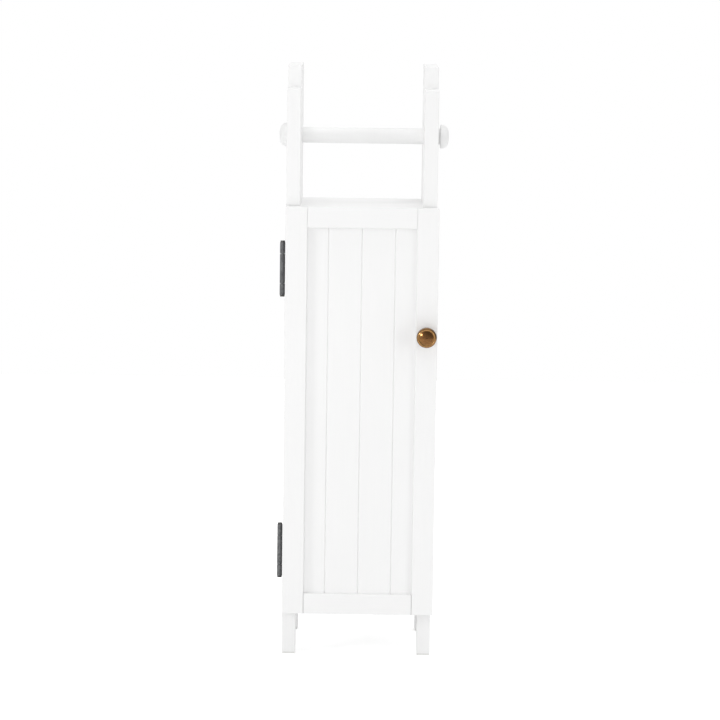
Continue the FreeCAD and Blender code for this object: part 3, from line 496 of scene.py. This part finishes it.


# Knob. Turned solid brass on a flared neck, with a bead round a low dome, screwed on from behind. It is
# chemically aged and clear-lacquered, brown on the dome; the bead and the crease inside it are painted paler,
# partly rubbed wear and partly painted light against their shade, and the rim is painted darker, partly
# patina and partly painted shade.
def antique_brass():
    made, tree, shader = new_material("antique_brass")
    shader.inputs["Metallic"].default_value = 1.0
    shader.inputs["Coat Weight"].default_value = 0.2
    shader.inputs["Coat Roughness"].default_value = 0.1
    low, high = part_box("knob")
    centre, radius = (low + high) / 2, (high.x - low.x) / 2
    place = object_place(tree)
    centred = add_node(tree, "ShaderNodeMapping", {"Vector": place, "Location": (-centre.x, 0, -centre.z)})
    axes = axes_of(tree, centred.outputs[0])
    from_axis = calc(tree, "SQRT", calc(tree, "ADD", calc(tree, "POWER", axes["X"], 2.0),
                                        calc(tree, "POWER", axes["Z"], 2.0)))
    share = calc(tree, "DIVIDE", from_axis, radius)
    # The ring colours are partly the brass's own tones and partly painted light: crease and bead lightened,
    # rim darkened as painted shade.
    rings = add_node(tree, "ShaderNodeValToRGB", {"Fac": share})
    middle, edge = rings.color_ramp.elements
    middle.color, edge.color = (0.20, 0.09, 0.028, 1), (0.16, 0.08, 0.033, 1)
    dome_end, bead_start, bead_end, rim_start = 0.64, 0.71, 0.88, 0.95
    for position, colour in ((dome_end, (0.21, 0.096, 0.03, 1)), (bead_start, (0.45, 0.245, 0.09, 1)),
                             (bead_end, (0.36, 0.195, 0.072, 1)), (rim_start, (0.22, 0.115, 0.045, 1))):
        rings.color_ramp.elements.new(position).color = colour
    patina_brown, patina_per_metre, turnings_per_metre = (0.055, 0.032, 0.016, 1), 420.0, 2600.0
    aged = spread(tree, noise(tree, place, patina_per_metre, 5.0), 0.42, 0.7, 0.0, 0.45)
    outwards = calc(tree, "MULTIPLY", from_axis, turnings_per_metre)
    turned = noise(tree, add_node(tree, "ShaderNodeCombineXYZ", {"X": outwards}).outputs[0], 1.0, 2.0)
    in_crease = calc(tree, "MULTIPLY", spread(tree, share, 0.67, 0.70, 0.0, 1.0),
                     spread(tree, share, 0.74, 0.80, 1.0, 0.0))
    worn = calc(tree, "MULTIPLY_ADD", aged, 0.35, calc(tree, "MULTIPLY", in_crease, 0.5))
    connect(tree, shader, {"Base Color": blended(tree, aged, rings.outputs["Color"], patina_brown),
                           "Roughness": calc(tree, "ADD", spread(tree, turned, 0.3, 0.7, 0.1, 0.15), worn),
                           "Normal": relief(tree, turned, 0.12, 0.0001)})
    return made


coat(antique_brass(), "knob")


# Magnetic catch. A moulded white case under the top panel holds a ferrite block between two steel jaws, which
# pull on a zinc-plated strike screwed to the back of the door.
def ferrite():
    made, tree, shader = new_material("pressed_ferrite")
    grains_per_metre = 2600.0
    dark_grain, pale_grain = (0.035, 0.034, 0.034, 1), (0.075, 0.073, 0.072, 1)
    grains = add_node(tree, "ShaderNodeTexVoronoi", {"Vector": object_place(tree),
                                                     "Scale": grains_per_metre}).outputs["Distance"]
    connect(tree, shader, {"Base Color": blended(tree, grains, dark_grain, pale_grain),
                           "Roughness": spread(tree, grains, 0.0, 0.8, 0.55, 0.75),
                           "Normal": relief(tree, grains, 0.3, 0.0001)})
    return made


coat(moulded("white_catch_plastic", plastic=(0.80, 0.80, 0.78, 1), skin=2400), "catch_housing")
coat(zinc_plate, "catch_jaws", "strike_plate")
coat(ferrite(), "catch_magnet")


# Roll bar and its caps. A turned dowel that hangs loose in the holes of the ears, with a spigot at each end
# in a domed cap: one glued, one that pulls off. Turning leaves fine rings under the lacquer.
turned_wood = lacquered("lacquered_turned_wood", (900, 60, 60), peel_share=0.45)[0]
coat(turned_wood, "roll_bar", "fixed_bar_cap", "removable_bar_cap")


# Floor. A plain white studio floor that shows white to the camera and pale in reflections. It keeps a soft
# shadow round the feet.
def kinds_of_ray(tree):
    """Whether a ray is the camera's, straight or through glass, and whether it is a reflection's."""
    rays = add_node(tree, "ShaderNodeLightPath").outputs
    return calc(tree, "MAXIMUM", rays["Is Camera Ray"], rays["Is Transmission Ray"]), rays["Is Glossy Ray"]


def studio_floor():
    made, tree, shader = new_material("white_studio_floor")
    shader.inputs["Base Color"].default_value = (0.93, 0.93, 0.93, 1)
    shader.inputs["Roughness"].default_value = 0.8
    shader.inputs["Specular IOR Level"].default_value = 0.0
    shader.inputs["Emission Color"].default_value = (1, 1, 1, 1)
    seen, mirrored = kinds_of_ray(tree)
    place = add_node(tree, "ShaderNodeVectorMath", {0: object_place(tree)}, operation="LENGTH")
    away = place.outputs["Value"]
    mirrored_share = calc(tree, "MULTIPLY", mirrored, spread(tree, away, 1.0, 2.5, 0.6, 0.3))
    glow = calc(tree, "MULTIPLY", spread(tree, away, 0.25, 1.0, 0.44, 1.0),
                calc(tree, "MAXIMUM", seen, mirrored_share))
    connect(tree, shader, {"Emission Strength": glow})
    return made


floor_half = 2.5
floor = bpy.data.objects.new("studio_floor", bpy.data.meshes.new("studio_floor"))
floor_corners = [(x * floor_half, y * floor_half, 0) for x, y in ((-1, -1), (1, -1), (1, 1), (-1, 1))]
floor.data.from_pydata(floor_corners, [], [(0, 1, 2, 3)])
floor.data.materials.append(studio_floor())
bpy.context.scene.collection.objects.link(floor)


# Light. Soft lamps from the left, the right, the front and above, in a white room that is brightest behind
# and in front of the cabinet. Polished metal shows the floor, the bright ceiling, one small lamp, and a dim
# studio behind the camera and to the right.
def soft_lamp(name, position, size, power, mirrored=False):
    middle_of_cabinet = Vector((0.0, 0.0, 0.42))
    lamp = bpy.data.lights.new(name, "AREA")
    lamp.shape = "SQUARE"
    lamp.size = size
    lamp.energy = power
    made = bpy.data.objects.new(name, lamp)
    made.location = position
    made.rotation_euler = (middle_of_cabinet - Vector(position)).to_track_quat("-Z", "Y").to_euler()
    made.visible_camera = False
    made.visible_glossy = mirrored
    bpy.context.scene.collection.objects.link(made)


soft_lamp("left_lamp", (-2.4, -1.4, 1.3), size=0.7, power=16.5)
soft_lamp("right_lamp", (2.2, -2.4, 0.8), size=1.2, power=8.5)
soft_lamp("front_lamp", (-0.3, -3.4, 0.15), size=0.6, power=5)
soft_lamp("upper_lamp", (0.0, -0.2, 2.6), size=1.2, power=9)
soft_lamp("catch_light", (-0.65, -2.59, 0.56), size=0.14, power=3.2, mirrored=True)


def white_room(above, front, back, left, right, dim_studio):
    """A room that lights the cabinet by direction, is white to the camera, and has its own look in metal."""
    room = bpy.data.worlds.new("white_room")
    room.use_nodes = True
    tree = room.node_tree
    seen, mirrored = kinds_of_ray(tree)
    direction = add_node(tree, "ShaderNodeTexCoord").outputs["Generated"]
    towards = axes_of(tree, direction)
    room_light = 0.0
    for axis, sign, glow in (("Z", 1, above), ("Y", -1, front), ("Y", 1, back),
                             ("X", -1, left), ("X", 1, right)):
        facing = calc(tree, "MAXIMUM", calc(tree, "MULTIPLY", towards[axis], sign), 0.0)
        room_light = calc(tree, "MULTIPLY_ADD", facing, glow, room_light)
    upper_right = Vector((0.45, 0.0, 0.9)).normalized()
    raised = add_node(tree, "ShaderNodeVectorMath", {0: direction, 1: upper_right}, operation="DOT_PRODUCT")
    behind_camera = calc(tree, "MULTIPLY", spread(tree, towards["Y"], -0.85, -0.6, 1.0, 0.0),
                         spread(tree, raised.outputs["Value"], -0.3, 0.15, 0.0, 1.0))
    on_right = spread(tree, towards["X"], 0.3, 0.7, 0.0, 0.8)
    ceiling = spread(tree, towards["Z"], 0.4, 0.9, 1.0, 1.5)
    in_metal = between(tree, calc(tree, "MAXIMUM", behind_camera, on_right), ceiling, dim_studio)
    strength = between(tree, seen, between(tree, mirrored, room_light, in_metal), 1.0)
    background = next(item for item in tree.nodes if item.type == "BACKGROUND")
    background.inputs["Color"].default_value = (1, 1, 1, 1)
    connect(tree, background, {"Strength": strength})
    return room


bpy.context.scene.world = white_room(above=0.40, front=0.61, back=0.95, left=0.06, right=0.46,
                                     dim_studio=0.33)


# Camera. A long lens about three and a half metres in front of the door, a little above the cabinet and
# tipped down.
camera = bpy.data.objects.new("camera", bpy.data.cameras.new("camera"))
camera.data.sensor_width = 36
camera.data.lens = 139.7
camera.data.clip_end = 100
camera_place = (0.0008, -3.6994, 0.8962)
yaw, pitch, roll = (math.radians(angle) for angle in (0.036, -7.819, -0.794))
camera.matrix_world = (Matrix.Translation(camera_place) @ Matrix.Rotation(yaw, 4, "Z")
                       @ Matrix.Rotation(pitch, 4, "X") @ Matrix.Rotation(roll, 4, "Y")
                       @ Matrix.Rotation(math.radians(90), 4, "X"))
bpy.context.scene.collection.objects.link(camera)
bpy.context.scene.camera = camera
bpy.context.scene.view_settings.view_transform = "Standard"
